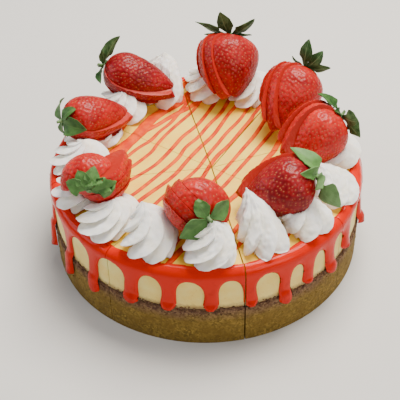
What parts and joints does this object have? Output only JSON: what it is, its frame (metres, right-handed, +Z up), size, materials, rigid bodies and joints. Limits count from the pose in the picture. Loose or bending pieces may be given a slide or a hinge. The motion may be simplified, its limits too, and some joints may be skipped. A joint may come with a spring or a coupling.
{
  "type": "strawberry cheesecake",
  "caption": "Round baked cheesecake cut into slices, with a crumb crust, dripping strawberry glaze, piped cream rosettes and fanned strawberries on top.",
  "frame": {"origin": "middle of the underside, on the surface the cake stands on", "axes": "+Z up; -Y is the front, the side seen nearest in the picture; +X is to the right seen from there"},
  "size_m": [0.2309, 0.2337, 0.1385],
  "materials": {
    "crust": "baked biscuit crumb",
    "filling": "smooth set cream cheese",
    "glaze": "wet fruit glaze",
    "cream": "whipped cream",
    "strawberry": "ripe fruit skin and cut flesh",
    "calyx": "green sepals"
  },
  "bodies": {
    "root": {"crust_1": "crust", "crust_2": "crust", "crust_3": "crust", "crust_4": "crust", "crust_5": "crust", "crust_6": "crust", "crust_7": "crust", "crust_8": "crust", "filling_1": "filling", "filling_2": "filling", "filling_3": "filling", "filling_4": "filling", "filling_5": "filling", "filling_6": "filling", "filling_7": "filling", "filling_8": "filling", "glaze_1": "glaze", "glaze_2": "glaze", "glaze_3": "glaze", "glaze_4": "glaze", "glaze_5": "glaze", "glaze_6": "glaze", "glaze_7": "glaze", "glaze_8": "glaze", "rosette_1": "cream", "rosette_2": "cream", "rosette_3": "cream", "rosette_4": "cream", "rosette_5": "cream", "rosette_6": "cream", "rosette_7": "cream", "rosette_8": "cream", "rosette_9": "cream", "rosette_10": "cream", "rosette_11": "cream", "rosette_12": "cream", "rosette_13": "cream", "rosette_14": "cream", "rosette_15": "cream", "rosette_16": "cream", "strawberry_1": "strawberry", "strawberry_2": "strawberry", "strawberry_3": "strawberry", "strawberry_4": "strawberry", "strawberry_5": "strawberry", "strawberry_6": "strawberry", "strawberry_7": "strawberry", "strawberry_8": "strawberry", "calyx_1": "calyx", "calyx_2": "calyx", "calyx_3": "calyx", "calyx_4": "calyx", "calyx_5": "calyx", "calyx_6": "calyx", "calyx_7": "calyx", "calyx_8": "calyx"}
  },
  "joints": []
}
